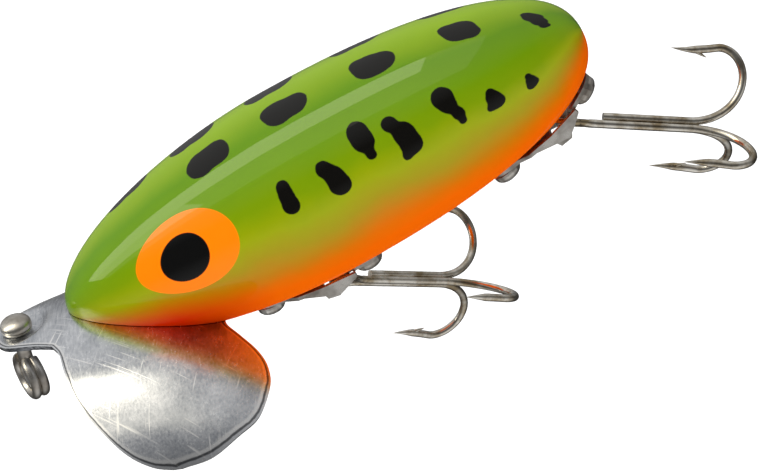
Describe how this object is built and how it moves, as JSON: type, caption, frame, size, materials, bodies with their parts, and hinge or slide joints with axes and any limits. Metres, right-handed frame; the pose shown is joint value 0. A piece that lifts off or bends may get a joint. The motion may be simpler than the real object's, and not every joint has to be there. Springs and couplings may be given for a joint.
{
  "type": "fishing lure",
  "caption": "Wobbling surface plug with a double-cupped metal lip, a swivelling line tie and treble hooks on stamped hangers",
  "frame": {"origin": "the middle of the line tie's eye, where the fishing line is knotted", "axes": "+X from the nose to the tail, +Z to the lure's back, -Y to the lure's left side"},
  "size_m": [0.104, 0.0467, 0.0471],
  "materials": {
    "body": "sprayed green over orange with black spots, under a thick clear coat",
    "lip": "brushed and bare, with a bright sheared edge",
    "fittings": "nickel plated",
    "hooks": "nickel plated with a warm cast"
  },
  "bodies": {
    "lure": {"body_left_half": "body", "body_right_half": "body", "lip": "lip", "lip_screw_front": "fittings", "lip_screw_rear": "fittings", "belly_hanger_plate": "fittings", "belly_hanger_strap": "fittings", "belly_hanger_screw_front": "fittings", "belly_hanger_screw_rear": "fittings", "tail_hanger_plate": "fittings", "tail_hanger_strap": "fittings", "tail_hanger_screw_front": "fittings", "tail_hanger_screw_rear": "fittings"},
    "line_tie": {"line_tie_eye": "fittings", "line_tie_cap": "fittings", "line_tie_washer": "fittings"},
    "belly_hook": {"belly_treble_double": "hooks", "belly_treble_single": "hooks"},
    "tail_hook": {"tail_treble_double": "hooks", "tail_treble_single": "hooks"}
  },
  "joints": [
    {"name": "line_tie_swivel", "type": "hinge", "parent": "lure", "child": "line_tie", "pos_m": [0, 0, 0], "axis": [0.3306, -0.1392, 0.9335], "continuous": true},
    {"name": "belly_hook_swing", "type": "hinge", "parent": "lure", "child": "belly_hook", "pos_m": [0.04261, -0.00094, -0.0093], "axis": [0.7556, 0, 0.6551], "range_deg": [-77, 22]},
    {"name": "tail_hook_swing", "type": "hinge", "parent": "lure", "child": "tail_hook", "pos_m": [0.07851, -0.00094, -0.00498], "axis": [0.4417, 0, 0.8972], "range_deg": [-53, 47]}
  ]
}
